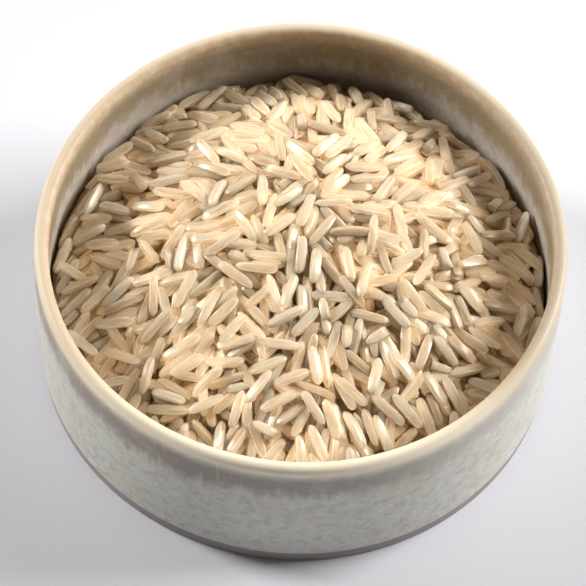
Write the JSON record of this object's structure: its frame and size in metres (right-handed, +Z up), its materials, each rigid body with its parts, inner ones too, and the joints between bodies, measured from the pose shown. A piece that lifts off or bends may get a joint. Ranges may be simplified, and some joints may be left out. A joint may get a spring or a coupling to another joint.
{
  "type": "bowl of rice",
  "caption": "Small straight-sided glazed stoneware bowl with a rounded rim, heaped off-centre with uncooked long-grain brown rice.",
  "frame": {"origin": "middle of the bowl's foot, on the surface that it stands on", "axes": "+Z up through the bowl's mouth, -Y towards the side that the picture shows as the front, +X to its right"},
  "size_m": [0.092, 0.092, 0.0338],
  "materials": {
    "glazed_stoneware": "speckled grey-cream glaze, glossy, with a cream lip, brownish streaks under the rim and a bare grey foot",
    "brown_rice": "dry husked grains, cream to light tan, slightly glossy"
  },
  "bodies": {
    "root": {"bowl": "glazed_stoneware", "rice_heap": "brown_rice"}
  },
  "joints": []
}
